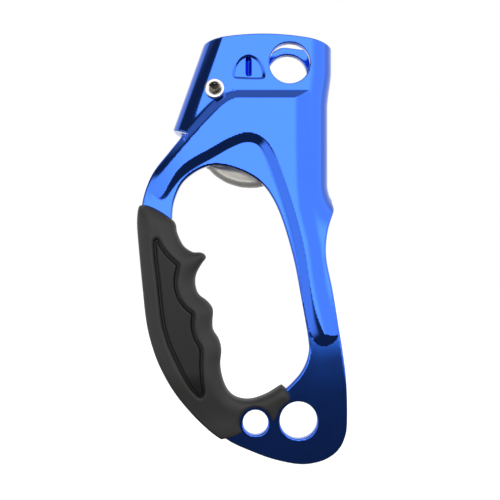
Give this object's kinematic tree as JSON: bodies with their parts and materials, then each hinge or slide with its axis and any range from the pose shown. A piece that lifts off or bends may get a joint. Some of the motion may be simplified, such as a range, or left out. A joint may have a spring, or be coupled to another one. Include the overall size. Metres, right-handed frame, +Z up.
{
  "type": "hand ascender",
  "caption": "Hand ascender: folded aluminium frame with a rope channel, a toothed spring cam with a safety trigger, and a rubber hand grip.",
  "frame": {"origin": "centre of the large lower eye, half way through the 4 mm plate", "axes": "+Z up the tool, along the rope; +X towards the rope channel; the smooth face of the frame faces -Y and the cam is on the +Y side"},
  "size_m": [0.0952, 0.0316, 0.195],
  "materials": {
    "anodised_blue": "blue anodised, satin gloss",
    "grip_rubber": "fine matt texture",
    "grip_panel": "smooth, slightly harder",
    "cast_steel": "tumbled satin",
    "steel_hardware": "turned, bright",
    "spring_steel": "drawn wire",
    "bronze": "sintered bronze"
  },
  "bodies": {
    "frame": {"frame": "anodised_blue", "grip": "grip_rubber", "grip_panel_front": "grip_panel", "grip_panel_rear": "grip_panel", "cam_axle_sleeve": "steel_hardware", "cam_axle_screw": "steel_hardware", "cam_washer_front": "steel_hardware", "cam_washer_rear": "steel_hardware"},
    "cam": {"cam": "cast_steel", "cam_bush": "bronze", "cam_spring": "spring_steel", "trigger_pin": "steel_hardware"},
    "trigger": {"trigger": "cast_steel", "trigger_spring": "spring_steel"}
  },
  "joints": [
    {"name": "cam_swing", "type": "hinge", "parent": "frame", "child": "cam", "pos_m": [-0.038, 0.0095, 0.15], "axis": [0, 1, 0], "range_deg": [0, 50], "stiffness_Nm_per_rad": 0.12, "springref_deg": -34.38, "deforming": ["cam_spring"]},
    {"name": "trigger_pull", "type": "hinge", "parent": "cam", "child": "trigger", "pos_m": [-0.024, 0.0095, 0.124], "axis": [0, -1, 0], "range_deg": [0, 18], "stiffness_Nm_per_rad": 0.04, "springref_deg": -28.65, "deforming": ["trigger_spring"]}
  ]
}
